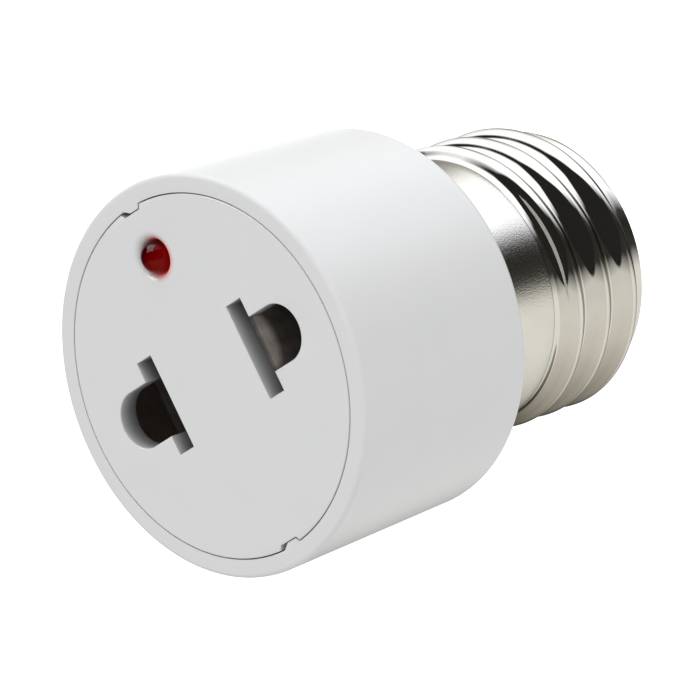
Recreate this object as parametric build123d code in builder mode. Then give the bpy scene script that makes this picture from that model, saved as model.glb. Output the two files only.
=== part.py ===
"""Lamp socket adapter: a screw cap that carries a two-pin mains outlet with an indicator lamp.

Millimetres, with +Z along the axis towards the outlet face. The origin is on the axis, in the
rear shoulder of the plastic body, where the screw cap starts. X runs through the two pin slots.
"""

import os
from math import ceil, cos, radians, sin, sqrt

from build123d import *

os.makedirs("parts", exist_ok=True)

# Moulded body: a drafted cup with a rim round the cover and a neck inside the screw cap
body_length = 21.7
body_front_radius = 17.9
body_rear_radius = 17.2
rim_wall = 1.7
ledge_width = 1.0
floor_thickness = 2.0
front_edge_radius = 0.45
rear_edge_radius = 0.6
neck_bore_radius = 8.0
barrier_thickness = 1.2
barrier_height = 9.0
barrier_lamp_gap = 4.4

# Cover: a disc flush with the rim, keyed by two notches and held by four snap legs
cover_thickness = 2.0
cover_gap = 0.1
notch_width = 2.1
notch_depth = 0.45
notch_flare = 0.3
tooth_gap = 0.1
tooth_tip = 1.08
tooth_lead = 0.7
leg_count = 4
leg_first_angle = 45
leg_thickness = 1.2
leg_width = 4.0
leg_length = 4.6
leg_gap = 0.25
hook_depth = 0.5
hook_height = 1.6
pocket_gap = 0.2

# Pin slots: a flat-blade slot with a round-pin bay on its outer side, mirrored about the YZ plane
blade_offset = 6.48
blade_slot_width = 1.96
blade_slot_length = 8.76
pin_offset = 9.88
pin_slot_radius = 2.58

# Screw cap: rolled sheet with a plain collar, a round thread and a coned-in lip
thread_crest_radius = 13.1
thread_pitch = 3.629
thread_depth = 1.1
thread_land = 0.12
thread_length = 12.1
thread_runout = 1.5
crest_below_collar = 2.1
crest_flat = 0.9
shell_sheet = 0.35
collar_radius = 12.2
collar_length = 9.7
collar_step = 0.2
neck_fit = 0.05
collar_seat = 0.4
collar_seat_gap = 0.1
lip_cone = 1.6
lip_opening_radius = 9.0

# Tip of the cap: insulator, centre contact and its washer
insulator_gap = 0.15
insulator_height = 3.6
insulator_skirt = 0.5
insulator_cone = 1.4
insulator_tip_radius = 5.6
contact_radius = 4.8
contact_rim = 0.5
contact_dome = 0.7
shank_radius = 1.2
shank_gap = 0.05
shank_stand = 1.0
washer_radius = 2.6
washer_thickness = 0.6

# Contact clips: folded strip with a straight inner leaf and a bowed outer spring leaf
clip_sheet = 0.5
clip_width = 7.0
clip_bend = 0.8
clip_slot_gap = 0.1
inner_leaf_gap = 0.5
outer_leaf_height = 13.5
spring_bow = 1.0
tab_width = 2.0
tab_margin = 1.0
screw_tab_width = 4.2
screw_angle = 37
screw_head_radius = 1.9
screw_head_height = 1.2
screw_shank_radius = 0.95
screw_hole_gap = 0.05
screw_length = 5.5
screw_slot_width = 0.5
screw_slot_depth = 0.6

# Indicator lamp: 3 mm lamp with a flange, in a rounded hole in the cover
led_inset = 3.8
led_radius = 1.5
led_length = 5.3
led_flange_radius = 1.9
led_flange_height = 1.0
led_proud = 0.84
led_gap = 0.1
led_hole_lip = 0.85
led_boss_wall = 1.2
led_lead_pitch = 2.54

# Leads and the two small components in series with the lamp
lead_radius = 0.3
lead_bend = 0.6
lead_stub = 0.7
lead_splay = 1.2
component_pitch = 4.4
component_lead_rise = 1.6
resistor_length = 5.0
resistor_radius = 1.1
resistor_cap_radius = 1.3
resistor_cap_length = 1.2
diode_length = 4.6
diode_radius = 1.35
sleeve_radius = 0.65
sleeve_length = 1.8

# Wires from the cap to the clips, and their solder
wire_core_radius = 0.45
wire_sheath_radius = 0.95
wire_offset = 2.5
wire_bend = 1.4
wire_rise = 5.0
wire_jog = 5.0
wire_hole_gap = 0.25
wire_neck_gap = 0.3
wire_strip = 0.3
solder_radius = 0.9
solder_tip_radius = 0.6
solder_height = 0.8

# Places that follow from the sizes above
seam_radius = body_front_radius - rim_wall
cover_radius = seam_radius - cover_gap
cavity_radius = seam_radius - ledge_width
ledge_z = body_length - cover_thickness
collar_inner_radius = collar_radius - shell_sheet
neck_radius = collar_inner_radius - neck_fit
solder_room = wire_neck_gap + 2 * wire_sheath_radius + collar_step
neck_length = collar_length - solder_room
notch_y = cover_radius - notch_depth
led_hole_radius = led_radius + led_gap
led_y = cavity_radius - led_inset
led_tip_z = body_length + led_proud
led_base_z = led_tip_z - led_length
led_flange_top_z = led_base_z + led_flange_height
inner_leaf_x = blade_offset - blade_slot_width / 2 - clip_slot_gap - clip_sheet / 2
outer_leaf_x = pin_offset + pin_slot_radius + clip_slot_gap + clip_sheet / 2
clip_top_z = floor_thickness + clip_sheet
leaf_back_x = inner_leaf_x - clip_sheet / 2
tab_x = inner_leaf_x + clip_bend + clip_sheet / 2 + tab_width / 2
screw_circle = (neck_bore_radius + neck_radius) / 2
screw_x = screw_circle * cos(radians(screw_angle))
screw_y = -screw_circle * sin(radians(screw_angle))
wire_top_z = clip_top_z + wire_rise
thread_root_radius = thread_crest_radius - thread_depth
shell_root_radius = thread_root_radius + thread_land
thread_end_z = -collar_length - thread_length
lip_z = thread_end_z - lip_cone
half_pitch = thread_pitch / 2
thread_arc = (half_pitch**2 + thread_depth**2) / (4 * thread_depth)
crest_centre = thread_crest_radius - thread_arc
root_centre = thread_root_radius + thread_arc
turns_below = ceil((thread_length - crest_below_collar + half_pitch) / thread_pitch)
turns_above = ceil((crest_below_collar + half_pitch) / thread_pitch)
helix_turns = turns_below + turns_above
helix_z = -collar_length - crest_below_collar - turns_below * thread_pitch


def radial_plane(angle):
    """Plane through the axis: local x runs outwards at this angle, local y runs up."""
    outward = (cos(radians(angle)), sin(radians(angle)), 0)
    sideways = (sin(radians(angle)), -cos(radians(angle)), 0)
    return Plane(origin=(0, 0, 0), x_dir=outward, z_dir=sideways)


def upright_plane(x, y):
    """Plane parallel to XZ whose local origin stands at x, y."""
    return Plane(origin=(x, y, 0), x_dir=(1, 0, 0), z_dir=(0, -1, 0))


def turned(points, x=0, y=0):
    """Solid of revolution about a vertical axis at x, y, from (radius, height) points."""
    with BuildPart() as piece:
        with BuildSketch(upright_plane(x, y)):
            with BuildLine():
                Polyline(*points, close=True)
            make_face()
        revolve(axis=Axis((x, y, 0), (0, 0, 1)))
    return piece


def rod(points, bend, radius, bore=0):
    """Round rod, or a tube where it has a bore, along straight runs joined by arcs."""
    with BuildPart() as piece:
        with BuildLine() as route:
            FilletPolyline(*points, radius=bend)
        with BuildSketch(Plane(origin=route.line @ 0, z_dir=route.line % 0)):
            Circle(radius)
            if bore:
                Circle(bore, mode=Mode.SUBTRACT)
        sweep(path=route.line)
    return piece


def save(piece, name):
    """Name a finished piece and write it to its own file."""
    piece.part.label = name
    export_step(piece.part, f"parts/{name}.step")


# Body shell
hook_base_z = ledge_z - leg_length
leg_angles = [leg_first_angle + 360 / leg_count * i for i in range(leg_count)]

with BuildPart() as body_shell:
    with BuildSketch(Plane.XZ) as section:
        with BuildLine():
            Polyline(
                (0, 0),
                (neck_bore_radius, 0),
                (neck_bore_radius, -neck_length),
                (neck_radius, -neck_length),
                (neck_radius, collar_seat),
                (collar_radius + collar_seat_gap, collar_seat),
                (collar_radius + collar_seat_gap, 0),
                (body_rear_radius, 0),
                (body_front_radius, body_length),
                (seam_radius, body_length),
                (seam_radius, ledge_z),
                (cavity_radius, ledge_z),
                (cavity_radius, floor_thickness),
                (0, floor_thickness),
                close=True,
            )
        make_face()
        front_corner = section.vertices().sort_by_distance((body_front_radius, body_length))[0]
        fillet(front_corner, front_edge_radius)
        rear_corner = section.vertices().sort_by_distance((body_rear_radius, 0))[0]
        fillet(rear_corner, rear_edge_radius)
    revolve(axis=Axis.Z)
    # Barrier between the two contacts, from the wall to short of the lamp's components
    barrier_end = led_y - barrier_lamp_gap
    barrier_length = barrier_end + cavity_radius + ledge_width / 2
    with BuildSketch(Plane.XY.offset(floor_thickness)):
        with Locations((0, barrier_end - barrier_length / 2)):
            Rectangle(barrier_thickness, barrier_length)
    extrude(amount=barrier_height)
    # Key teeth on the rim, which fill one half of each notch and slope away in the other half
    tooth_y = notch_y + tooth_gap
    tooth_root_y = seam_radius + rim_wall / 4
    tooth_end = notch_width / 2 - tooth_gap
    spread = (tooth_root_y - tooth_y) / notch_depth
    for side in (1, -1):
        with BuildSketch(Plane.XY.offset(ledge_z)):
            with BuildLine():
                Polyline(
                    (tooth_end - tooth_tip, side * tooth_y),
                    (tooth_end, side * tooth_y),
                    (tooth_end + spread * notch_flare, side * tooth_root_y),
                    (tooth_end - tooth_tip - spread * tooth_lead, side * tooth_root_y),
                    close=True,
                )
            make_face()
        extrude(amount=cover_thickness)
    # Pockets in the wall for the snap hooks
    for angle in leg_angles:
        with BuildSketch(radial_plane(angle)):
            with Locations((cavity_radius, hook_base_z + hook_height / 2)):
                Rectangle(2 * (hook_depth + pocket_gap), hook_height + 2 * pocket_gap)
        extrude(amount=leg_width / 2 + pocket_gap, both=True, mode=Mode.SUBTRACT)
    # Wire holes in the floor and pilot holes for the clip screws in the neck wall
    with Locations(Plane.XY.offset(floor_thickness)):
        with Locations((wire_offset, 0), (-wire_offset, 0)):
            Hole(wire_sheath_radius + wire_hole_gap, depth=2 * floor_thickness)
        with Locations((screw_x, screw_y), (-screw_x, screw_y)):
            Hole(screw_shank_radius + screw_hole_gap, depth=screw_length)
save(body_shell, "body_shell")

# Front cover
with BuildPart() as front_cover:
    with BuildSketch(Plane.XY.offset(ledge_z)):
        Circle(cover_radius)
        bay = pin_offset - blade_offset
        for side in (1, -1):
            with Locations((side * blade_offset, 0)):
                Rectangle(blade_slot_width, blade_slot_length, mode=Mode.SUBTRACT)
            with Locations((side * (blade_offset + bay / 2), 0)):
                Rectangle(bay, 2 * pin_slot_radius, mode=Mode.SUBTRACT)
            with Locations((side * pin_offset, 0)):
                Circle(pin_slot_radius, mode=Mode.SUBTRACT)
            with BuildLine():
                Polyline(
                    (-notch_width / 2, side * notch_y),
                    (notch_width / 2, side * notch_y),
                    (notch_width / 2 + 2 * notch_flare, side * (notch_y + 2 * notch_depth)),
                    (-notch_width / 2 - 2 * notch_flare, side * (notch_y + 2 * notch_depth)),
                    close=True,
                )
            make_face(mode=Mode.SUBTRACT)
        with Locations((0, led_y)):
            Circle(led_hole_radius, mode=Mode.SUBTRACT)
    extrude(amount=cover_thickness)
    top_arcs = front_cover.faces().sort_by(Axis.Z)[-1].edges().filter_by(GeomType.CIRCLE)
    fillet(top_arcs.sort_by(SortBy.RADIUS)[0], led_hole_lip)
    # Tube on the back that stops the lamp's flange
    with BuildSketch(Plane.XY.offset(led_flange_top_z)):
        with Locations((0, led_y)):
            Circle(led_hole_radius + led_boss_wall)
            Circle(led_hole_radius, mode=Mode.SUBTRACT)
    extrude(amount=ledge_z - led_flange_top_z)
    # Snap legs with hooked ends
    leg_face = cavity_radius - leg_gap
    for angle in leg_angles:
        with BuildSketch(radial_plane(angle)):
            with BuildLine():
                Polyline(
                    (leg_face - leg_thickness, ledge_z),
                    (leg_face, ledge_z),
                    (leg_face, hook_base_z + hook_height),
                    (cavity_radius + hook_depth, hook_base_z + hook_height),
                    (leg_face, hook_base_z),
                    (leg_face - leg_thickness, hook_base_z),
                    close=True,
                )
            make_face()
        extrude(amount=leg_width / 2, both=True)
save(front_cover, "front_cover")


# Screw shell: core and helical ridge outside, the same set in by the sheet inside
def shell_core(inset):
    """Collar, thread root and coned-in lip, set in by this much, turned from opposite the ridge's start."""
    mitre = (sqrt(2) - 1) * inset
    with BuildPart() as core:
        with BuildSketch(radial_plane(180)):
            with BuildLine():
                Polyline(
                    (0, collar_seat),
                    (collar_radius - inset, collar_seat),
                    (collar_radius - inset, collar_step - collar_length),
                    (shell_root_radius - inset, -collar_length),
                    (shell_root_radius - inset, thread_end_z + mitre),
                    (shell_root_radius - lip_cone - mitre, lip_z + inset),
                    (0, lip_z + inset),
                    close=True,
                )
            make_face()
        revolve(axis=Axis.Z)
    return core


def thread_ridge(inset):
    """Ridge wound on the core, set in by this much, that runs out into it at both ends."""
    core_radius = shell_root_radius - inset
    foot_radius = core_radius - thread_land / 2
    bite_radius = foot_radius - shell_sheet
    crest_arc = thread_arc - inset
    root_arc = thread_arc + inset
    share = crest_arc / (crest_arc + root_arc)
    flank_radius = crest_centre + share * (root_centre - crest_centre)
    flank = share * half_pitch
    foot = half_pitch - sqrt(root_arc**2 - (root_centre - foot_radius) ** 2)
    crest = crest_flat / 2 * crest_arc / thread_arc
    slope = thread_runout / thread_depth
    inner_radius = bite_radius - shell_sheet
    outer_radius = thread_crest_radius + shell_sheet
    with BuildPart() as ridge:
        with BuildLine() as winding:
            Helix(thread_pitch, helix_turns * thread_pitch, core_radius, center=(0, 0, helix_z))
        with BuildSketch(Plane.XZ):
            with BuildLine():
                Polyline(
                    (bite_radius, helix_z - foot),
                    (foot_radius, helix_z - foot),
                    (flank_radius, helix_z - flank),
                    (thread_crest_radius - inset, helix_z - crest),
                    (thread_crest_radius - inset, helix_z + crest),
                    (flank_radius, helix_z + flank),
                    (foot_radius, helix_z + foot),
                    (bite_radius, helix_z + foot),
                    close=True,
                )
            make_face()
        sweep(path=winding.line, is_frenet=True)
        with BuildSketch(Plane.XZ):
            with BuildLine():
                Polyline(
                    (0, -collar_length + (core_radius - inner_radius) * slope),
                    (inner_radius, -collar_length + (core_radius - inner_radius) * slope),
                    (outer_radius, -collar_length - (outer_radius - core_radius) * slope),
                    (outer_radius, thread_end_z + (outer_radius - core_radius) * slope),
                    (inner_radius, thread_end_z - (core_radius - inner_radius) * slope),
                    (0, thread_end_z - (core_radius - inner_radius) * slope),
                    close=True,
                )
            make_face()
        revolve(axis=Axis.Z, mode=Mode.INTERSECT)
    return ridge


def threaded_form(inset):
    """Core and ridge as one solid, set in by this much."""
    core, ridge = shell_core(inset), thread_ridge(inset)
    with BuildPart() as form:
        add(core.part)
        add(ridge.part)
    return form


outside, inside = threaded_form(0), threaded_form(shell_sheet)
with BuildPart() as screw_shell:
    add(outside.part)
    add(inside.part, mode=Mode.SUBTRACT)
    with Locations(Plane.XY.offset(lip_z + shell_sheet)):
        Hole(lip_opening_radius, depth=2 * shell_sheet)
save(screw_shell, "screw_shell")

# Base insulator: it sits on the lip inside the cap and comes out through its opening
seat_z = lip_z + shell_sheet
insulator_inset = shell_sheet + insulator_gap
insulator_top_z = seat_z + insulator_height
insulator_tip_z = lip_z - insulator_skirt - insulator_cone
insulator_radius = shell_root_radius - insulator_inset
cone_reach = shell_root_radius - thread_end_z - sqrt(2) * insulator_inset
base_insulator = turned(
    [
        (shank_radius + shank_gap, insulator_top_z),
        (insulator_radius, insulator_top_z),
        (insulator_radius, insulator_radius - cone_reach),
        (seat_z + cone_reach, seat_z),
        (lip_opening_radius - insulator_gap, seat_z),
        (lip_opening_radius - insulator_gap, lip_z - insulator_skirt),
        (insulator_tip_radius, insulator_tip_z),
        (shank_radius + shank_gap, insulator_tip_z),
    ]
)
save(base_insulator, "base_insulator")

# Centre contact: domed button with a shank through the insulator
shank_top_z = insulator_top_z + shank_stand
button_z = insulator_tip_z - contact_rim
dome_z = button_z - contact_dome
with BuildPart() as centre_contact:
    with BuildSketch(Plane.XZ):
        with BuildLine():
            Polyline(
                (contact_radius, button_z),
                (contact_radius, insulator_tip_z),
                (shank_radius, insulator_tip_z),
                (shank_radius, shank_top_z),
                (0, shank_top_z),
                (0, dome_z),
            )
            TangentArc((0, dome_z), (contact_radius, button_z), tangent=(1, 0))
        make_face()
    revolve(axis=Axis.Z)
save(centre_contact, "centre_contact")

washer_top_z = insulator_top_z + washer_thickness
contact_washer = turned(
    [
        (shank_radius + shank_gap, insulator_top_z),
        (washer_radius, insulator_top_z),
        (washer_radius, washer_top_z),
        (shank_radius + shank_gap, washer_top_z),
    ]
)
save(contact_washer, "contact_washer")

centre_solder_z = shank_top_z + solder_height
centre_solder = turned(
    [
        (shank_radius, washer_top_z),
        (washer_radius - shank_gap, washer_top_z),
        (solder_tip_radius, centre_solder_z),
        (wire_core_radius, centre_solder_z),
        (wire_core_radius, shank_top_z),
        (shank_radius, shank_top_z),
    ]
)
save(centre_solder, "centre_solder")


# Contact clips, mirrored: a folded strip with a tab for its screw and a tab for the lamp's lead
def contact_clip(side):
    """Strip folded up at both ends, with the two tabs that grow from its base."""
    base_z = floor_thickness + clip_sheet / 2
    outer_top_z = floor_thickness + outer_leaf_height
    bow_x = outer_leaf_x - spring_bow
    with BuildPart() as clip:
        with BuildSketch(Plane.XZ):
            with BuildLine():
                FilletPolyline(
                    (side * inner_leaf_x, ledge_z - inner_leaf_gap),
                    (side * inner_leaf_x, base_z),
                    (side * outer_leaf_x, base_z),
                    (side * outer_leaf_x, base_z + outer_leaf_height / 4),
                    (side * bow_x, base_z + outer_leaf_height * 2 / 3),
                    (side * outer_leaf_x, outer_top_z),
                    radius=clip_bend,
                )
            trace(line_width=clip_sheet)
        extrude(amount=clip_width / 2, both=True)
        tab_root = clip_width / 2 - clip_sheet
        lead_tab_end = led_y + tab_margin
        screw_tab_end = -screw_y + screw_tab_width / 2
        with BuildSketch(Plane.XY.offset(floor_thickness)):
            with Locations((side * tab_x, (tab_root + lead_tab_end) / 2)):
                Rectangle(tab_width, lead_tab_end - tab_root)
            with Locations((side * screw_x, -(tab_root + screw_tab_end) / 2)):
                Rectangle(screw_tab_width, screw_tab_end - tab_root)
            with Locations((side * screw_x, screw_y)):
                Circle(screw_shank_radius + screw_hole_gap, mode=Mode.SUBTRACT)
        extrude(amount=clip_sheet)
    return clip


def clip_screw(side):
    """Slotted pan-head screw through the clip's tab into the neck wall."""
    head_top_z = clip_top_z + screw_head_height
    with BuildPart() as screw:
        with BuildSketch(Plane.XY.offset(clip_top_z)):
            with Locations((side * screw_x, screw_y)):
                Circle(screw_head_radius)
        extrude(amount=screw_head_height)
        chamfer(screw.faces().sort_by(Axis.Z)[-1].edges(), screw_slot_width)
        with BuildSketch(Plane.XY.offset(head_top_z)):
            with Locations((side * screw_x, screw_y)):
                Rectangle(2 * screw_head_radius, screw_slot_width)
        extrude(amount=-screw_slot_depth, mode=Mode.SUBTRACT)
        with BuildSketch(Plane.XY.offset(clip_top_z)):
            with Locations((side * screw_x, screw_y)):
                Circle(screw_shank_radius)
        extrude(amount=-screw_length)
    return screw


for side, hand in ((1, "right"), (-1, "left")):
    save(contact_clip(side), f"{hand}_contact_clip")
    save(clip_screw(side), f"{hand}_clip_screw")

# Indicator lamp
dome_centre_z = led_tip_z - led_radius
with BuildPart() as indicator_led:
    with BuildSketch(upright_plane(0, led_y)):
        with BuildLine():
            Polyline(
                (0, led_tip_z),
                (0, led_base_z),
                (led_flange_radius, led_base_z),
                (led_flange_radius, led_flange_top_z),
                (led_radius, led_flange_top_z),
                (led_radius, dome_centre_z),
            )
            CenterArc((0, dome_centre_z), led_radius, 0, 90)
        make_face()
    revolve(axis=Axis((0, led_y, 0), (0, 0, 1)))
save(indicator_led, "indicator_led")

# Each lamp lead runs into a sleeve, a component and a lower lead to the tab of a clip
splay_z = led_base_z - lead_stub - lead_splay
joint_z = splay_z - lead_bend - sleeve_length / 2
lead_run_z = clip_top_z + component_lead_rise
component_z = (joint_z - sleeve_length / 2 + lead_run_z + lead_bend) / 2


def lamp_branch(side, lamp_lead, sleeve, upper_lead, lower_lead, joint, half_length):
    """Leads, sleeve and solder on one side of the lamp, round a component of this half length."""
    lead_x = side * led_lead_pitch / 2
    part_x = side * component_pitch / 2
    clip_x = side * tab_x
    drop = [
        (lead_x, led_y, led_base_z),
        (lead_x, led_y, led_base_z - lead_stub),
        (part_x, led_y, splay_z),
        (part_x, led_y, joint_z),
    ]
    save(rod(drop, lead_bend, lead_radius), lamp_lead)
    save(
        turned(
            [
                (lead_radius, joint_z - sleeve_length / 2),
                (sleeve_radius, joint_z - sleeve_length / 2),
                (sleeve_radius, joint_z + sleeve_length / 2),
                (lead_radius, joint_z + sleeve_length / 2),
            ],
            part_x,
            led_y,
        ),
        sleeve,
    )
    save(
        turned(
            [
                (0, component_z + half_length),
                (lead_radius, component_z + half_length),
                (lead_radius, joint_z),
                (0, joint_z),
            ],
            part_x,
            led_y,
        ),
        upper_lead,
    )
    run = [
        (part_x, led_y, component_z - half_length),
        (part_x, led_y, lead_run_z),
        (clip_x, led_y, lead_run_z),
        (clip_x, led_y, clip_top_z),
    ]
    save(rod(run, lead_bend, lead_radius), lower_lead)
    save(solder_cone((clip_x, led_y, clip_top_z), (0, 0, 1), lead_radius), joint)


def solder_cone(foot, direction, bore):
    """Cone of solder on a flat face, round a wire or lead of this radius."""
    bottom = (Align.CENTER, Align.CENTER, Align.MIN)
    with BuildPart() as cone:
        with Locations(Plane(origin=foot, z_dir=direction)):
            Cone(solder_radius, solder_tip_radius, solder_height, align=bottom)
            Cylinder(bore, solder_height, align=bottom, mode=Mode.SUBTRACT)
    return cone


lamp_branch(
    1,
    "led_anode_lead",
    "anode_sleeve",
    "resistor_upper_lead",
    "resistor_lower_lead",
    "resistor_solder",
    resistor_length / 2,
)
lamp_branch(
    -1,
    "led_cathode_lead",
    "cathode_sleeve",
    "diode_upper_lead",
    "diode_lower_lead",
    "diode_solder",
    diode_length / 2,
)

# Series resistor with swollen ends, and the plain blocking diode
resistor_waist = resistor_length / 2 - resistor_cap_length
series_resistor = turned(
    [
        (0, component_z - resistor_length / 2),
        (resistor_radius, component_z - resistor_length / 2),
        (resistor_cap_radius, component_z - resistor_length / 2 + resistor_cap_length / 3),
        (resistor_cap_radius, component_z - resistor_waist - resistor_cap_length / 3),
        (resistor_radius, component_z - resistor_waist),
        (resistor_radius, component_z + resistor_waist),
        (resistor_cap_radius, component_z + resistor_waist + resistor_cap_length / 3),
        (resistor_cap_radius, component_z + resistor_length / 2 - resistor_cap_length / 3),
        (resistor_radius, component_z + resistor_length / 2),
        (0, component_z + resistor_length / 2),
    ],
    component_pitch / 2,
    led_y,
)
save(series_resistor, "series_resistor")

blocking_diode = turned(
    [
        (0, component_z - diode_length / 2),
        (diode_radius, component_z - diode_length / 2),
        (diode_radius, component_z + diode_length / 2),
        (0, component_z + diode_length / 2),
    ],
    -component_pitch / 2,
    led_y,
)
save(blocking_diode, "blocking_diode")

# Live wire: from the centre contact up the neck and through the floor to the right clip
jog_top_z = -neck_length
sheath_top_z = wire_top_z - wire_bend - wire_strip
live_foot_z = centre_solder_z + wire_strip
live_jog = [(0, 0, jog_top_z - wire_jog), (wire_offset, 0, jog_top_z)]
live_core = [(0, 0, shank_top_z), *live_jog, (wire_offset, 0, wire_top_z), (leaf_back_x, 0, wire_top_z)]
save(rod(live_core, wire_bend, wire_core_radius), "live_wire_core")
live_sheath = [(0, 0, live_foot_z), *live_jog, (wire_offset, 0, sheath_top_z)]
save(rod(live_sheath, wire_bend, wire_sheath_radius, wire_core_radius), "live_wire_sheath")
save(solder_cone((leaf_back_x, 0, wire_top_z), (-1, 0, 0), wire_core_radius), "live_clip_solder")

# Neutral wire: from the inside of the collar, under the end of the neck, to the left clip
neutral_z = -neck_length - wire_neck_gap - wire_sheath_radius
shell_face_x = -sqrt(collar_inner_radius**2 - solder_radius**2)
sheath_start_x = shell_face_x + solder_height + wire_strip
neutral_turn = (-wire_offset, 0, neutral_z)
neutral_core = [
    (shell_face_x, 0, neutral_z),
    neutral_turn,
    (-wire_offset, 0, wire_top_z),
    (-leaf_back_x, 0, wire_top_z),
]
save(rod(neutral_core, wire_bend, wire_core_radius), "neutral_wire_core")
neutral_sheath = [(sheath_start_x, 0, neutral_z), neutral_turn, (-wire_offset, 0, sheath_top_z)]
save(rod(neutral_sheath, wire_bend, wire_sheath_radius, wire_core_radius), "neutral_wire_sheath")
save(solder_cone((-leaf_back_x, 0, wire_top_z), (1, 0, 0), wire_core_radius), "neutral_clip_solder")
save(solder_cone((shell_face_x, 0, neutral_z), (1, 0, 0), wire_core_radius), "shell_solder")
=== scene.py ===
# %% [markdown]
# # A lamp socket adapter, dressed for its picture
# The real thing is a white moulded cup with a flush cover, a nickel screw cap rolled from thin sheet, and a
# small red lamp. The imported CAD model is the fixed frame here: it says where everything sits and how big it
# is. Each visible piece is modelled again with finer edges and a real finish, and stands for its CAD solid.

# %% Load the frame
from math import asin, atan2, cos, degrees, pi, radians, sin, sqrt

import bmesh
import bpy
from mathutils import Matrix, Vector


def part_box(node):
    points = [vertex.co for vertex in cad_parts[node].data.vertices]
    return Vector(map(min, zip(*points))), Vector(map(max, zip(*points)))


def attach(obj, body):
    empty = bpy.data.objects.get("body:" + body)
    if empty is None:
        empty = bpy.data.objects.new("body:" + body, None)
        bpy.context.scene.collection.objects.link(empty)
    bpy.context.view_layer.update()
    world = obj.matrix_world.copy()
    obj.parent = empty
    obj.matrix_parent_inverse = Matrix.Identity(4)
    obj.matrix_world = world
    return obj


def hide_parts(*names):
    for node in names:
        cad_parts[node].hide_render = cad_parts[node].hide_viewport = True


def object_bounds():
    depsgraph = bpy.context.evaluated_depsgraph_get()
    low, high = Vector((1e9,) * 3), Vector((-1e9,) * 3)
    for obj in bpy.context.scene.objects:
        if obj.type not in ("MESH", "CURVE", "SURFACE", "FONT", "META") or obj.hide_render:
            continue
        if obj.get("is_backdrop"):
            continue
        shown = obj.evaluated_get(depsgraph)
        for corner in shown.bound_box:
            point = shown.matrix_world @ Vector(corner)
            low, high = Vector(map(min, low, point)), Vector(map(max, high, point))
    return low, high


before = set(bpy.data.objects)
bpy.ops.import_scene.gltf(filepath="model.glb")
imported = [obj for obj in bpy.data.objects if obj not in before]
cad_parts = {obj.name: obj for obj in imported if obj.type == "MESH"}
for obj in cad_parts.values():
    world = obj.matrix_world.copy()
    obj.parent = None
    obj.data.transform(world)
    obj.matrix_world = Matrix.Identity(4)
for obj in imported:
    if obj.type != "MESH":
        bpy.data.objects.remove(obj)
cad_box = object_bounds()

MM = 0.001
scene = bpy.context.scene
print("nodes in the frame:", len(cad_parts))

# %% [markdown]
# ## The camera
# The photograph was taken from in front of the outlet face and a little to one side, with a long lens, so
# that the cap runs away to the upper right. A camera could be aimed with a constraint, but its axes are
# written out here, because the adapter's own upright axis lies slanted in the picture.

# %% Camera at the photograph's viewing angle
camera_place = Vector((0.427850, -0.069365, 0.436238))
camera_right = Vector((0.60615, -0.43068, -0.66865))
camera_up = Vector((0.37780, 0.89571, -0.23444))
camera_back = camera_right.cross(camera_up)

optics = bpy.data.cameras.new("long_lens")
optics.sensor_width = 36
optics.lens = 360
optics.clip_start = 0.01
optics.clip_end = 100
camera = bpy.data.objects.new("camera", optics)
turn = Matrix((camera_right, camera_up, camera_back)).transposed()
camera.matrix_world = Matrix.Translation(camera_place) @ turn.to_4x4()
scene.collection.objects.link(camera)
scene.camera = camera
print("camera is", round(camera_place.length / MM), "mm from the origin")

# %% [markdown]
# ## The floor and the soft box
# The adapter hangs in the air in the photograph, so the pale floor lies a metre below it and catches no
# shadow in view. White plastic wants one big soft box from above: a small lamp would draw hard shadows on the
# rim. The floor and the soft box are both kept out of mirror reflections, because the metal cap gets a room
# of its own to mirror in the next step.

# %% Pale floor
floor_drop = 1.0
floor_half = 12.0
floor_glow = 0.7


def new_material(name, **sockets):
    """A material with one Principled shader, whose own sockets take these values."""
    material = bpy.data.materials.new(name)
    material.use_nodes = True
    shader = material.node_tree.nodes["Principled BSDF"]
    for socket, value in sockets.items():
        shader.inputs[socket.replace("_", " ")].default_value = value
    return material, shader


def object_from(name, data):
    """An object at the origin that shows this mesh, curve or light."""
    made = bpy.data.objects.new(name, data)
    scene.collection.objects.link(made)
    return made


def piece_from(name, bm):
    """An object at the origin from a finished bmesh, which is let go."""
    mesh = bpy.data.meshes.new(name)
    bm.to_mesh(mesh)
    bm.free()
    return object_from(name, mesh)


pale_floor, _ = new_material(
    "pale_floor",
    Base_Color=(0.9, 0.9, 0.9, 1),
    Roughness=0.9,
    Emission_Color=(1, 1, 1, 1),
    Emission_Strength=floor_glow,
)
bm = bmesh.new()
bmesh.ops.create_grid(bm, x_segments=1, y_segments=1, size=floor_half)
bmesh.ops.translate(bm, vec=(0, 0, cad_box[0].z - floor_drop), verts=bm.verts)
floor = piece_from("floor", bm)
floor.data.materials.append(pale_floor)
floor.visible_glossy = False
floor.visible_diffuse = False
floor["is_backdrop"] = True
print("floor at", round((cad_box[0].z - floor_drop) / MM), "mm")

# %% Soft box for the plastic


def area_light(name, direction, distance, size, energy):
    """A square light that looks at the origin from this direction, in metres and watts."""
    light = bpy.data.lights.new(name, "AREA")
    light.shape = "SQUARE"
    light.size = size
    light.energy = energy
    lamp = object_from(name, light)
    facing = direction.normalized().to_track_quat("Z", "Y").to_matrix().to_4x4()
    lamp.matrix_world = Matrix.Translation(direction.normalized() * distance) @ facing
    print(name, size, "m wide at", distance, "m")
    return lamp


soft_box = area_light("soft_box", Vector((0.41, 0.88, 0.24)), distance=0.9, size=1.0, energy=4.0)
soft_box.visible_glossy = False

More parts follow.
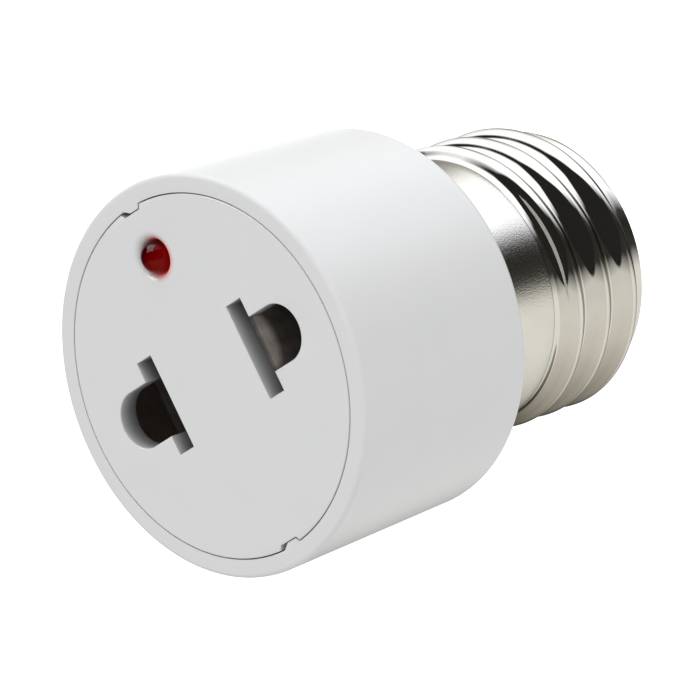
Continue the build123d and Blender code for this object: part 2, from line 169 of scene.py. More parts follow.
# %% [markdown]
# ## The room that the cap mirrors
# Bright metal has no look of its own: it shows the room. A picture of a studio could be wrapped round the
# scene, but bands made with colour ramps can be set one by one. So the world answers each kind of ray in its
# own way. The camera sees plain white, the plastic gets an even fill, and mirror rays see a white card, a
# dark gap and a cream wall, by the compass angle of the ray. Low rays come from the collar and the thread's
# crests, higher ones from its flanks. Above and below the bands the room is dark, which draws the streaks.

# %% Compass angle of a mirror ray
pole_shift = 0.6


def add_node(tree, kind, **inputs):
    """A new node whose named inputs take these values."""
    node = tree.nodes.new(kind)
    for socket, value in inputs.items():
        node.inputs[socket.replace("_", " ")].default_value = value
    return node


world = bpy.data.worlds.new("studio")
world.use_nodes = True
scene.world = world
tree = world.node_tree
tree.nodes.clear()
direction = add_node(tree, "ShaderNodeTexCoord").outputs["Generated"]
shifted = add_node(tree, "ShaderNodeMapping", Location=(pole_shift, 0, 0))
tree.links.new(direction, shifted.inputs["Vector"])
compass = add_node(tree, "ShaderNodeTexGradient")
compass.gradient_type = "RADIAL"
tree.links.new(shifted.outputs["Vector"], compass.inputs["Vector"])
print("the compass turns about x =", -pole_shift)

# %% Tones for low rays and for the thread's flanks
low_bands = [
    (-110, (0.16, 0.155, 0.14)), (-92, (0.72, 0.70, 0.64)), (-76, (1.02, 1.01, 0.97)),
    (-58, (1.04, 1.04, 1.02)), (-38, (1.04, 1.04, 1.02)), (-26, (1.04, 1.04, 1.01)),
    (-21, (0.96, 0.96, 0.93)), (-12, (0.05, 0.05, 0.045)), (0, (0.03, 0.028, 0.026)),
    (6, (0.07, 0.068, 0.065)), (17, (1.60, 1.66, 1.85)), (38, (1.80, 1.86, 2.05)),
    (47, (1.75, 1.78, 1.86)), (54, (1.30, 1.30, 1.31)), (61, (0.86, 0.86, 0.85)),
    (70, (0.72, 0.72, 0.71)), (81, (1.00, 1.00, 1.00)), (93, (1.40, 1.42, 1.48)),
    (135, (1.40, 1.42, 1.48)), (160, (0.10, 0.10, 0.10)),
]
flank_bands = [
    (-110, (0.20, 0.19, 0.16)), (-80, (0.50, 0.48, 0.43)), (-50, (0.80, 0.78, 0.73)),
    (-36, (0.88, 0.87, 0.83)), (-24, (0.80, 0.79, 0.76)), (-15, (0.04, 0.038, 0.035)),
    (10, (0.03, 0.028, 0.026)), (19, (1.55, 1.60, 1.72)), (110, (1.55, 1.60, 1.72)),
]
print("tones for low rays:", len(low_bands), "and for flank rays:", len(flank_bands))

# %% Bands round the compass
flank_start, flank_end = -0.62, -0.50


def value_between(tree, factor, start, end, low, high):
    """A number that runs from low to high as the factor runs from start to end."""
    spread = add_node(tree, "ShaderNodeMapRange", From_Min=start, From_Max=end, To_Min=low, To_Max=high)
    tree.links.new(factor, spread.inputs["Value"])
    return spread.outputs["Result"]


def mixed(tree, factor, first, second):
    """One shader or the other, by this factor."""
    mix = add_node(tree, "ShaderNodeMixShader")
    tree.links.new(factor, mix.inputs[0])
    tree.links.new(first.outputs[0], mix.inputs[1])
    tree.links.new(second.outputs[0], mix.inputs[2])
    return mix


def ramp_over(tree, factor, stops):
    """A colour that follows these (position, colour) stops as the factor runs from 0 to 1."""
    ramp = add_node(tree, "ShaderNodeValToRGB")
    elements = ramp.color_ramp.elements
    elements.remove(elements[0])
    elements[0].position, elements[0].color = stops[-1][0], (*stops[-1][1], 1)
    for position, colour in stops[:-1]:
        elements.new(position).color = (*colour, 1)
    tree.links.new(factor, ramp.inputs["Fac"])
    return ramp.outputs["Color"]


def compass_share(angle):
    """Place of an angle in degrees on the compass, which runs from 0 to 1."""
    return angle / 360 + 0.5


def banded(bands):
    """A background whose tone follows these (degrees, colour) stops round the compass."""
    background = add_node(tree, "ShaderNodeBackground")
    stops = [(compass_share(angle), tone) for angle, tone in bands]
    tree.links.new(ramp_over(tree, compass.outputs["Fac"], stops), background.inputs["Color"])
    return background


rise = add_node(tree, "ShaderNodeSeparateXYZ")
tree.links.new(direction, rise.inputs["Vector"])
flank_share = value_between(tree, rise.outputs["Z"], flank_start, flank_end, 0.0, 1.0)
bands = mixed(tree, flank_share, banded(low_bands), banded(flank_bands))
print("rays count as flank rays above a height of", flank_end)

# %% Dark room above and below the bands
dark_above = [
    (-23, 1.0), (-5, -0.4), (6, -0.35), (13, -0.12), (20, 0.12), (26, 0.45), (40, 0.69),
    (59, 0.57), (70, 0.42), (79, 0.25), (86, 0.0), (93, -0.1), (110, -0.2),
]
dark_below = [(8, -1.0), (18, -0.89), (60, -0.88), (80, -0.80), (130, -0.90)]
dark_edge = 0.06


def maths(tree, operation, first, second):
    """The result of one sum on two sockets."""
    node = add_node(tree, "ShaderNodeMath")
    node.operation = operation
    tree.links.new(first, node.inputs[0])
    tree.links.new(second, node.inputs[1])
    return node.outputs["Value"]


def edge_round(heights):
    """A height, as a share of -1 to 1, that follows these (degrees, height) stops round the compass."""
    stops = [(compass_share(angle), [(level + 1) / 2] * 3) for angle, level in heights]
    return ramp_over(tree, compass.outputs["Fac"], stops)


height = value_between(tree, rise.outputs["Z"], -1.0, 1.0, 0.0, 1.0)
over = maths(tree, "SUBTRACT", height, edge_round(dark_above))
under = maths(tree, "SUBTRACT", edge_round(dark_below), height)
beyond = maths(tree, "MAXIMUM", over, under)
dark_share = value_between(tree, beyond, -dark_edge / 2, dark_edge / 2, 0.0, 1.0)
dark_room = add_node(tree, "ShaderNodeBackground", Color=(0.022, 0.021, 0.02, 1))
mirrored = mixed(tree, dark_share, bands, dark_room)
print("the dark room has", len(dark_above), "upper and", len(dark_below), "lower corners")

# %% World for each kind of ray
fill_strength = 0.74
fill = add_node(tree, "ShaderNodeBackground", Color=(1, 1, 1, 1), Strength=fill_strength)
backdrop = add_node(tree, "ShaderNodeBackground", Color=(1, 1, 1, 1), Strength=1.0)
path = add_node(tree, "ShaderNodeLightPath")
lit = mixed(tree, path.outputs["Is Glossy Ray"], fill, mirrored)
seen = mixed(tree, path.outputs["Is Camera Ray"], lit, backdrop)
tree.links.new(seen.outputs[0], add_node(tree, "ShaderNodeOutputWorld").inputs["Surface"])
scene.view_settings.view_transform = "Standard"
print("the world has", len(tree.nodes), "nodes and a fill of", fill_strength)

# %% [markdown]
# ## Satin white plastic
# The body and cover are injection moulded, with a fine satin texture from the tool's etched surface. A flat
# white would look like paint, so slow noise shifts its tone a little, and fast noise gives the grain as bump
# and as a change of roughness. The noise reads Object coordinates, in metres, so it stays on the piece. The
# inside of the cup gets painted shade: a darker, warmer tone than the white plastic, as it looks through the
# slots.

# %% Noise, tone and grain
tone_start, tone_end = 0.35, 0.65


def object_noise(tree, scale, detail=2.0):
    """Noise on Object coordinates, with this many features to the metre."""
    noise = add_node(tree, "ShaderNodeTexNoise", Scale=scale, Detail=detail)
    tree.links.new(add_node(tree, "ShaderNodeTexCoord").outputs["Object"], noise.inputs["Vector"])
    return noise.outputs["Fac"]


def tone_between(tree, factor, low, high):
    """A colour that runs from low to high as the factor crosses its middle."""
    ramp = add_node(tree, "ShaderNodeValToRGB")
    ramp.color_ramp.elements[0].position = tone_start
    ramp.color_ramp.elements[1].position = tone_end
    ramp.color_ramp.elements[0].color = (*low, 1)
    ramp.color_ramp.elements[1].color = (*high, 1)
    tree.links.new(factor, ramp.inputs["Fac"])
    return ramp.outputs["Color"]


def grain(tree, shader, height, strength, depth):
    """Bump the shader's surface by this height map."""
    bump = add_node(tree, "ShaderNodeBump", Strength=strength, Distance=depth)
    tree.links.new(height, bump.inputs["Height"])
    tree.links.new(bump.outputs["Normal"], shader.inputs["Normal"])


print("tones change while the noise runs from", tone_start, "to", tone_end)

# %% White plastic
tone_detail = 3
fleck_low, fleck_high, fleck_bump = 0.3, 0.7, 0.25


def speckled(name, low, high, rough, patch, fleck, depth, **sockets):
    """A finish with slow patches of tone, and flecks that roughen and bump the surface."""
    material, shader = new_material(name, **sockets)
    tree = material.node_tree
    tone = tone_between(tree, object_noise(tree, patch, tone_detail), low, high)
    tree.links.new(tone, shader.inputs["Base Color"])
    flecks = object_noise(tree, fleck)
    tree.links.new(value_between(tree, flecks, fleck_low, fleck_high, *rough), shader.inputs["Roughness"])
    grain(tree, shader, flecks, fleck_bump, depth * MM)
    return material, shader


moulded_white = {
    "low": (0.816, 0.820, 0.822),
    "high": (0.826, 0.829, 0.831),
    "patch": 260,
    "fleck": 5200,
    "depth": 0.0003,
    "Specular_IOR_Level": 0.4,
}
white_plastic, _ = speckled("white_plastic", rough=(0.28, 0.36), **moulded_white)
# Painted shade: the inside of the cup gets a dark, warm tone in place of the white plastic's own colour.
painted_shade_inside, _ = speckled(
    "painted_shade_inside", (0.20, 0.15, 0.125), (0.27, 0.205, 0.17), (0.5, 0.7), patch=400, fleck=5200, depth=0.006
)
print("plastic finishes:", white_plastic.name, painted_shade_inside.name)

# %% [markdown]
# ## Body shell
# The body is one moulding: a drafted cup with a ledge for the cover, a floor, and a neck that the cap is
# pressed onto. It is round, so its whole section is drawn as one chain of points and spun about the upright
# axis. Sharp rings of edges are then bevelled, because a moulded edge is never razor sharp and its small
# radius is what catches the light.

# %% Section of the body
body_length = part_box("front_cover")[1].z / MM
body_front_radius, body_rear_radius = 17.9, 17.2
seam_radius, cavity_radius = 16.2, 15.2
ledge_z, floor_top = 19.7, 2.0
neck_radius, neck_bore, neck_end = 11.8, 8.0, -7.3
collar_groove, collar_seat = 12.3, 0.4
section = [
    (0, 0),
    (neck_bore, 0),
    (neck_bore, neck_end),
    (neck_radius, neck_end),
    (neck_radius, collar_seat),
    (collar_groove, collar_seat),
    (collar_groove, 0),
    (body_rear_radius, 0),
    (body_front_radius, body_length),
    (seam_radius, body_length),
    (seam_radius, ledge_z),
    (cavity_radius, ledge_z),
    (cavity_radius, floor_top),
    (0, floor_top),
]
print("section has", len(section), "corners, body is", round(body_length, 2), "mm long")

# %% Body shell by spin
front_edge, rear_edge, seam_edge = 0.45, 0.6, 0.08
body_steps = 192
merge_distance = 0.0005 * MM
ring_reach = 0.01 * MM


def spun(points, steps, x=0.0, y=0.0, closed=False):
    """A bmesh of revolution from (radius, height) points in millimetres, about an axis at x, y."""
    bm = bmesh.new()
    chain = [bm.verts.new(((x + radius) * MM, y * MM, height * MM)) for radius, height in points]
    edges = [bm.edges.new(pair) for pair in zip(chain, chain[1:])]
    if closed:
        edges.append(bm.edges.new((chain[-1], chain[0])))
    centre = (x * MM, y * MM, 0)
    bmesh.ops.spin(
        bm, geom=chain + edges, cent=centre, axis=(0, 0, 1), angle=2 * pi, steps=steps, use_merge=True
    )
    bmesh.ops.remove_doubles(bm, verts=bm.verts, dist=merge_distance)
    bmesh.ops.recalc_face_normals(bm, faces=bm.faces)
    return bm


def bevel(bm, edges, size, segments, clamp):
    """Round these edges by this size in millimetres."""
    bmesh.ops.bevel(
        bm,
        geom=edges,
        offset=size * MM,
        segments=segments,
        profile=0.5,
        affect="EDGES",
        material=-1,
        clamp_overlap=clamp,
    )


def round_ring(bm, radius, height, size, segments=4):
    """Bevel the ring of edges at this radius and height, by this size, in millimetres."""

    def on_ring(vert):
        reach = sqrt(vert.co.x**2 + vert.co.y**2)
        return abs(reach - radius * MM) < ring_reach and abs(vert.co.z - height * MM) < ring_reach

    ring = [edge for edge in bm.edges if all(on_ring(vert) for vert in edge.verts)]
    bevel(bm, ring, size, segments, clamp=False)


bm = spun(section, body_steps)
round_ring(bm, body_front_radius, body_length, front_edge, segments=5)
round_ring(bm, body_rear_radius, 0, rear_edge, segments=5)
round_ring(bm, seam_radius, body_length, seam_edge, segments=2)
body_shell = piece_from("white_body", bm)
print("body spun with", len(body_shell.data.vertices), "vertices")

# %% [markdown]
# ## What isn't round on the body
# Two key teeth stand in the rim, where the cover has its notches, and a barrier parts the two contacts
# inside. The wall has pockets for the cover's hooks, and the floor has holes for wires and screws. They could
# be cut into the spun mesh face by face, but booleans with simple closed shapes are easier to read and to
# change.

# %% Key teeth and barrier
notch_depth, notch_flare = 0.45, 0.3
tooth_tip, tooth_end, tooth_lead, tooth_sink = 1.08, 0.95, 0.7, 0.2
tooth_face, tooth_root = 15.75, 16.625
tooth_spread = (tooth_root - tooth_face) / notch_depth
barrier_low, barrier_high = (-0.6, -15.6, 1.5), (0.6, 7.0, 11.0)


def slab(corners, move):
    """A bmesh of one flat face through these corners, extruded by this move, in millimetres."""
    bm = bmesh.new()
    face = bm.faces.new([bm.verts.new([value * MM for value in corner]) for corner in corners])
    raised = bmesh.ops.extrude_face_region(bm, geom=[face])["geom"]
    moved = [item for item in raised if isinstance(item, bmesh.types.BMVert)]
    bmesh.ops.translate(bm, vec=[value * MM for value in move], verts=moved)
    bmesh.ops.recalc_face_normals(bm, faces=bm.faces)
    return bm


def tooth(side):
    """Key tooth on the rim at +Y or -Y: it fills half of the cover's notch and slopes away in the rest."""
    outline = [
        (tooth_end - tooth_tip, side * tooth_face),
        (tooth_end, side * tooth_face),
        (tooth_end + tooth_spread * notch_flare, side * tooth_root),
        (tooth_end - tooth_tip - tooth_spread * tooth_lead, side * tooth_root),
    ]
    foot = ledge_z - tooth_sink
    return slab([(x, y, foot) for x, y in outline], (0, 0, body_length - foot))


def turned_to(bm, angle):
    """The same bmesh, turned about the upright axis by this angle."""
    bmesh.ops.rotate(bm, cent=(0, 0, 0), matrix=Matrix.Rotation(radians(angle), 3, "Z"), verts=bm.verts)
    return bm


def box_at(angle, low, high):
    """A bmesh box between two corners in millimetres, turned about the upright axis by this angle."""
    bm = bmesh.new()
    bmesh.ops.create_cube(bm, size=1)
    size = [(b - a) * MM for a, b in zip(low, high)]
    middle = [(a + b) / 2 * MM for a, b in zip(low, high)]
    bmesh.ops.scale(bm, vec=size, verts=bm.verts)
    bmesh.ops.translate(bm, vec=middle, verts=bm.verts)
    return turned_to(bm, angle)


additions = [tooth(1), tooth(-1), box_at(0, barrier_low, barrier_high)]
print("a tooth is", round(tooth_root - tooth_face, 3), "mm deep and", tooth_tip, "mm wide at its tip")

# %% Teeth and barrier joined on


def finished_mesh(piece):
    """A new mesh of an object with its modifiers or its curve settings applied."""
    return bpy.data.meshes.new_from_object(piece.evaluated_get(bpy.context.evaluated_depsgraph_get()))


def combine(piece, operation, tools):
    """Join or cut a piece by closed bmeshes, one after another."""
    for number, tool in enumerate(tools):
        helper = piece_from(f"tool_{number}", tool)
        step = piece.modifiers.new(helper.name, "BOOLEAN")
        step.operation = operation
        step.solver = "EXACT"
        step.object = helper
        result = finished_mesh(piece)
        piece.modifiers.clear()
        piece.data = result
        bpy.data.objects.remove(helper)


combine(body_shell, "UNION", additions)
print("body has", len(body_shell.data.vertices), "vertices with its teeth and barrier")

# %% Pockets and holes cut out
leg_angles = (45, 135, 225, 315)
pocket_low, pocket_high = (14.5, -2.2, 14.9), (15.9, 2.2, 16.9)
wire_offset, wire_hole, wire_hole_end = 2.5, 1.2, -1.0
screw_x, screw_y, screw_hole, screw_hole_end = 7.9, -5.96, 1.0, -3.5
hole_top, hole_steps = 4.0, 32


def bore(x, y, radius, low):
    """A closed upright cylinder for cutting a hole in the floor."""
    return spun([(0, low), (radius, low), (radius, hole_top), (0, hole_top)], hole_steps, x, y)


pockets = [box_at(angle, pocket_low, pocket_high) for angle in leg_angles]
holes = [bore(side * wire_offset, 0, wire_hole, wire_hole_end) for side in (1, -1)]
pilots = [bore(side * screw_x, screw_y, screw_hole, screw_hole_end) for side in (1, -1)]
combine(body_shell, "DIFFERENCE", pockets + holes + pilots)
print("cut:", len(pockets), "pockets,", len(holes), "wire holes,", len(pilots), "screw holes")

# %% Finish of the body, with painted shade inside
smooth_angle = radians(32)
pocket_margin, level_margin = 0.8, 0.1
inside_reach = cavity_radius + pocket_margin
inside_low, inside_high = floor_top - level_margin, ledge_z - level_margin


def dress(piece, material, slot, *nodes, weighted=True):
    """Smooth a finished piece, give it its finish and let it stand for its CAD nodes."""
    mesh = piece.data
    mesh.materials.clear()
    mesh.materials.append(material)
    mesh.shade_smooth()
    mesh.set_sharp_from_angle(angle=smooth_angle)
    if weighted:
        piece.modifiers.new("flat_faces_lead", "WEIGHTED_NORMAL").keep_sharp = True
    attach(piece, "root")
    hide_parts(*nodes)
    mesh.calc_loop_triangles()
    print(piece.name, "stands for", ", ".join(nodes), "with", len(mesh.loop_triangles), "triangles")


dress(body_shell, white_plastic, "white_plastic", "body_shell")
# Faces inside the cup, between its floor and its ledge, take the painted shade.
body_shell.data.materials.append(painted_shade_inside)
for face in body_shell.data.polygons:
    reach = sqrt(face.center.x**2 + face.center.y**2)
    if reach < inside_reach * MM and inside_low * MM < face.center.z < inside_high * MM:
        face.material_index = 1

# %% [markdown]
# ## Front cover
# The cover is a flat disc with two keyhole-like slots, each a flat-blade slot with a round-pin bay. A flat
# curve suits it: the first spline is the rim with its two notches, the others are holes, and the curve's own
# extrude and bevel give it thickness and softened edges. The lamp hole has a wide rounded lip, so a spun tool
# with a flared mouth cuts it, and the four snap legs and the lamp's tube are joined on behind.

# %% Cover outline
cover_radius = 16.1
notch_half = 1.05
blade_middle, blade_half_width, blade_half_length = 6.48, 0.98, 4.38
pin_middle, pin_radius = 9.88, 2.58
rim_points, bay_points = 90, 32
notch_mouth = notch_half + notch_flare
notch_angle = 90 - degrees(asin(notch_mouth / cover_radius))
notch_floor = cover_radius - notch_depth


def arc(x, y, radius, start, end, count):
    """Points on a circle from one angle to another, in degrees."""
    step = (end - start) / count
    return [
        (x + radius * cos(radians(start + step * i)), y + radius * sin(radians(start + step * i)))
        for i in range(count + 1)
    ]


rim = (
    arc(0, 0, cover_radius, -notch_angle, notch_angle, rim_points)
    + [(notch_half, notch_floor), (-notch_half, notch_floor)]
    + arc(0, 0, cover_radius, 180 - notch_angle, 180 + notch_angle, rim_points)
    + [(-notch_half, -notch_floor), (notch_half, -notch_floor)]
)


def slot_outline(side):
    """Blade slot with the round-pin bay on its outer side."""
    inner, outer = blade_middle - blade_half_width, blade_middle + blade_half_width
    points = [(outer, -blade_half_length), (outer, -pin_radius)]
    points += arc(pin_middle, 0, pin_radius, -90, 90, bay_points)
    points += [(outer, pin_radius), (outer, blade_half_length)]
    points += [(inner, blade_half_length), (inner, -blade_half_length)]
    return [(side * x, y) for x, y in points]


print("rim has", len(rim), "points, each slot", len(slot_outline(1)))

# %% Cover plate from the outlines
cover_edge, cover_edge_rows = 0.09, 2


def flat_plate(name, outlines, low, high, edge):
    """A plate with rounded edges from a flat curve: its first outline is the rim, the others are holes."""
    curve = bpy.data.curves.new(name, "CURVE")
    curve.dimensions = "2D"
    curve.fill_mode = "BOTH"
    curve.extrude = ((high - low) / 2 - edge) * MM
    curve.bevel_depth = edge * MM
    curve.bevel_resolution = cover_edge_rows
    curve.offset = -edge * MM
    for outline in outlines:
        spline = curve.splines.new("POLY")
        spline.points.add(len(outline) - 1)
        spline.use_cyclic_u = True
        for point, (x, y) in zip(spline.points, outline):
            point.co = (x * MM, y * MM, 0, 1)
    flat = object_from(name, curve)
    mesh = finished_mesh(flat)
    bpy.data.objects.remove(flat)
    bm = bmesh.new()
    bm.from_mesh(mesh)
    bmesh.ops.translate(bm, vec=(0, 0, (low + high) / 2 * MM), verts=bm.verts)
    bmesh.ops.remove_doubles(bm, verts=bm.verts, dist=merge_distance)
    bmesh.ops.recalc_face_normals(bm, faces=bm.faces)
    print(name, "has", len(bm.faces), "faces and", sum(not e.is_manifold for e in bm.edges), "open edges")
    return piece_from(name, bm)


outlines = [rim, slot_outline(1), slot_outline(-1)]
front_cover = flat_plate("front_cover_disc", outlines, ledge_z, body_length, cover_edge)

# %% Snap legs and lamp tube joined on
lamp_y = (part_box("indicator_led")[0].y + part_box("indicator_led")[1].y) / 2 / MM
leg_face, leg_inner, leg_half, leg_sink = 14.95, 13.75, 2.0, 0.3
hook_reach, hook_base, hook_top = 15.7, 15.1, 16.7
tube_outer, tube_end, tube_sink = 2.8, 18.24, 0.2
lamp_steps = 64


def snap_leg(angle):
    """Leg with a hooked end, drawn in the XZ plane and turned to its place."""
    corners = [
        (leg_inner, ledge_z + leg_sink),
        (leg_face, ledge_z + leg_sink),
        (leg_face, hook_top),
        (hook_reach, hook_top),
        (leg_face, hook_base),
        (leg_inner, hook_base),
    ]
    return turned_to(slab([(x, -leg_half, z) for x, z in corners], (0, 2 * leg_half, 0)), angle)


tube_top = ledge_z + tube_sink
tube_section = [(0, tube_end), (tube_outer, tube_end), (tube_outer, tube_top), (0, tube_top)]
tube = spun(tube_section, lamp_steps, 0, lamp_y)
combine(front_cover, "UNION", [snap_leg(angle) for angle in leg_angles] + [tube])
print("cover has", len(leg_angles), "legs, and its lamp tube stands at y", round(lamp_y, 2), "mm")

# %% Lamp hole cut out
lamp_hole, lamp_lip, lip_points = 1.6, 0.85, 9
mouth_below, mouth_above = 0.5, 0.3

lip = arc(lamp_hole + lamp_lip, body_length - lamp_lip, lamp_lip, 180, 90, lip_points)
mouth = [
    (0, tube_end - mouth_below),
    (lamp_hole, tube_end - mouth_below),
    *lip,
    (lip[-1][0], body_length + mouth_above),
    (0, body_length + mouth_above),
]
combine(front_cover, "DIFFERENCE", [spun(mouth, lamp_steps, 0, lamp_y)])
print("lamp hole", 2 * lamp_hole, "mm wide, with a lip of", lamp_lip, "mm")

# %% [markdown]
# ## Red glow and deep slots
# Light that goes through the red lens lands on the white lip round it, more on the side away from the soft
# box. It could be left to caustics, which are slow and noisy, so the cover's plastic takes a red tint that
# fades with the distance from a point just beside the lamp's axis, and shines a little right at the lens. The
# walls of the slots fall into shade faster than even light makes them, so the plastic darkens with depth.

# %% Cover plastic
cover_plastic, shader = speckled("cover_plastic", rough=(0.30, 0.40), **moulded_white)
tree = cover_plastic.node_tree
place = add_node(tree, "ShaderNodeTexCoord").outputs["Object"]


def lamp_distance(shift_x, shift_y):
    """Distance from an upright line beside the lamp's axis."""
    start = (-shift_x * MM, -(lamp_y + shift_y) * MM, 0)
    moved = add_node(tree, "ShaderNodeMapping", Location=start, Scale=(1, 1, 0))
    tree.links.new(place, moved.inputs["Vector"])
    length = add_node(tree, "ShaderNodeVectorMath")
    length.operation = "LENGTH"
    tree.links.new(moved.outputs["Vector"], length.inputs[0])
    return length.outputs["Value"]


def tinted(factor, first, colour):
    """One colour socket, tinted by this factor."""
    mix = add_node(tree, "ShaderNodeMix")
    mix.data_type = "RGBA"
    tree.links.new(factor, mix.inputs["Factor"])
    tree.links.new(first, mix.inputs["A"])
    mix.inputs["B"].default_value = (*colour, 1)
    return mix.outputs["Result"]


print("cover finish:", cover_plastic.name)

# %% Shade in the slots
shade_stops = [(0.0, 0.78), (0.45, 0.62), (0.80, 0.40), (0.97, 0.20), (1.0, 0.0)]
shade_colour = (0.01, 0.01, 0.01)
lip_clear, lip_end = 2.5, 2.8
depth = add_node(tree, "ShaderNodeSeparateXYZ")
tree.links.new(place, depth.inputs["Vector"])
depth_share = value_between(tree, depth.outputs["Z"], ledge_z * MM, body_length * MM, 0.0, 1.0)
shade = ramp_over(tree, depth_share, [(position, [tone] * 3) for position, tone in shade_stops])
off_lip = value_between(tree, lamp_distance(0, 0), lip_clear * MM, lip_end * MM, 0.0, 1.0)
shade_share = maths(tree, "MULTIPLY", shade, off_lip)
shaded = tinted(shade_share, shader.inputs["Base Color"].links[0].from_socket, shade_colour)
print("shade has", len(shade_stops), "steps and leaves the lamp's lip clear to", lip_clear, "mm")

# %% Glow at the lamp
glow_shift = (0.36, -0.14)
glow_start, glow_end, glow_share, glow_colour = 1.45, 2.15, 0.75, (0.92, 0.22, 0.20)
shine_start, shine_end, shine, shine_colour = 1.40, 2.0, 0.32, (1, 0.14, 0.12)
glow = value_between(tree, lamp_distance(*glow_shift), glow_start * MM, glow_end * MM, glow_share, 0.0)
tree.links.new(tinted(glow, shaded, glow_colour), shader.inputs["Base Color"])
shader.inputs["Emission Color"].default_value = (*shine_colour, 1)
at_lens = value_between(tree, lamp_distance(*glow_shift), shine_start * MM, shine_end * MM, shine, 0.0)
tree.links.new(at_lens, shader.inputs["Emission Strength"])
dress(front_cover, cover_plastic, "white_plastic", "front_cover")

# %% [markdown]
# ## Nickel
# The cap is brass sheet with a bright nickel plate. Where the thread was rolled, the rollers burnished it to
# a mirror, and the plain collar above kept the drawn sheet's satin grain. Two materials would leave a hard
# line, so one does both: the height on the piece blends from a polished to a satin roughness, and fine noise
# bumps the satin part alone. A grey specular tint dulls the metal where it is seen edge on, so that the
# outline of the cap stands out from the white behind it.

# %% Nickel plate
collar_end = -9.7
satin_blend = 0.15
polished, satin_rough = 0.045, (0.12, 0.22)
satin_fleck, satin_bump, satin_depth = 7500, 0.7, 0.018
nickel_low, nickel_high, nickel_patch = (0.66, 0.635, 0.575), (0.70, 0.68, 0.62), 180
nickel, shader = new_material("nickel_plate", Metallic=1.0, Specular_Tint=(0.4, 0.4, 0.4, 1))
tree = nickel.node_tree
tone = tone_between(tree, object_noise(tree, nickel_patch, tone_detail), nickel_low, nickel_high)
tree.links.new(tone, shader.inputs["Base Color"])
level = add_node(tree, "ShaderNodeSeparateXYZ")
tree.links.new(add_node(tree, "ShaderNodeTexCoord").outputs["Object"], level.inputs["Vector"])
satin_start, satin_end = (collar_end - satin_blend) * MM, (collar_end + satin_blend) * MM
satin = value_between(tree, level.outputs["Z"], satin_start, satin_end, 0.0, 1.0)
flecks = object_noise(tree, satin_fleck, detail=1)
rough = add_node(tree, "ShaderNodeMix")
tree.links.new(satin, rough.inputs["Factor"])
rough.inputs["A"].default_value = polished
tree.links.new(value_between(tree, flecks, fleck_low, fleck_high, *satin_rough), rough.inputs["B"])
tree.links.new(rough.outputs["Result"], shader.inputs["Roughness"])
grain(tree, shader, maths(tree, "MULTIPLY", satin, flecks), satin_bump, satin_depth * MM)
print("nickel is satin above", collar_end, "mm")

# %% [markdown]
# ## Screw shell
# The real cap is drawn as a plain cup from sheet 0.35 mm thick, and then its thread is rolled in between a
# ribbed mandrel and a ribbed wheel. A section could be swept along a helix, but its ends would have to be
# blended by hand. The mesh follows the factory's steps instead: a plain cup is spun, each vertex of its wall
# is pushed out by how near it is to the winding crest, and the sheet gets its thickness last.

# %% Plain cup by spin
collar_radius, root_radius, crest_radius = 12.2, 12.0, 13.1
step_top, step_middle, step_edge, step_foot = 0.2, 0.1, 0.02, 0.1
thread_length, lip_cone, lip_opening = 12.1, 1.6, 9.0
collar_rows, thread_rows, cone_rows, lip_rows = 10, 200, 8, 3
shell_steps = 200
thread_end = collar_end - thread_length
lip_z = thread_end - lip_cone
lip_radius = root_radius - lip_cone


def straight(start, end, count):
    """Points on a line from just after its start to its end."""
    return [
        (start[0] + (end[0] - start[0]) * i / count, start[1] + (end[1] - start[1]) * i / count)
        for i in range(1, count + 1)
    ]


cup = [(collar_radius, collar_seat)]
cup += straight(cup[0], (collar_radius, collar_end + step_top), collar_rows)
cup += [(collar_radius - step_edge, collar_end + step_middle), (root_radius + step_foot, collar_end)]
cup += straight((root_radius, collar_end), (root_radius, thread_end), thread_rows)
cup += straight((root_radius, thread_end), (lip_radius, lip_z), cone_rows)
cup += straight((lip_radius, lip_z), (lip_opening, lip_z), lip_rows)
bm = spun(cup, shell_steps)
print("plain cup has", len(bm.verts), "vertices")

# %% Thread rolled into the cup
thread_pitch, thread_runout = 3.629, 1.5
crest_below_collar = 2.1
sheet = 0.35
half_pitch = thread_pitch / 2
thread_depth = crest_radius - root_radius
flank_arc = (half_pitch**2 + thread_depth**2) / (4 * thread_depth)


def rolled_height(from_crest):
    """How far the round thread stands out of its root, at this distance along the axis from the crest."""
    if from_crest < half_pitch / 2:
        return thread_depth - flank_arc + sqrt(flank_arc**2 - from_crest**2)
    return flank_arc - sqrt(flank_arc**2 - (half_pitch - from_crest) ** 2)


def eased(share):
    """A smooth step from 0 to 1."""
    share = min(max(share, 0), 1)
    return share * share * (3 - 2 * share)


for vert in bm.verts:
    z = vert.co.z / MM
    if thread_end < z < collar_end:
        turns = atan2(vert.co.y, vert.co.x) / (2 * pi)
        along = (z - collar_end + crest_below_collar) / thread_pitch - turns
        from_crest = abs(along - round(along)) * thread_pitch
        fade = eased((collar_end - z) / thread_runout) * eased((z - thread_end) / thread_runout)
        push = 1 + rolled_height(from_crest) * fade / root_radius
        vert.co.x *= push
        vert.co.y *= push
bmesh.ops.recalc_face_normals(bm, faces=bm.faces)
bmesh.ops.solidify(bm, geom=bm.faces[:], thickness=sheet * MM)
screw_shell = piece_from("screw_cap_shell", bm)
dress(screw_shell, nickel, "nickel_plate", "screw_shell", weighted=False)

# %% [markdown]
# ## Tip of the cap
# A black moulded ring insulates the centre contact from the cap. Both are turned shapes, so both are spun,
# and the corners that show are bevelled. Cylinders and cones could be stacked, but they would leave faces
# inside.

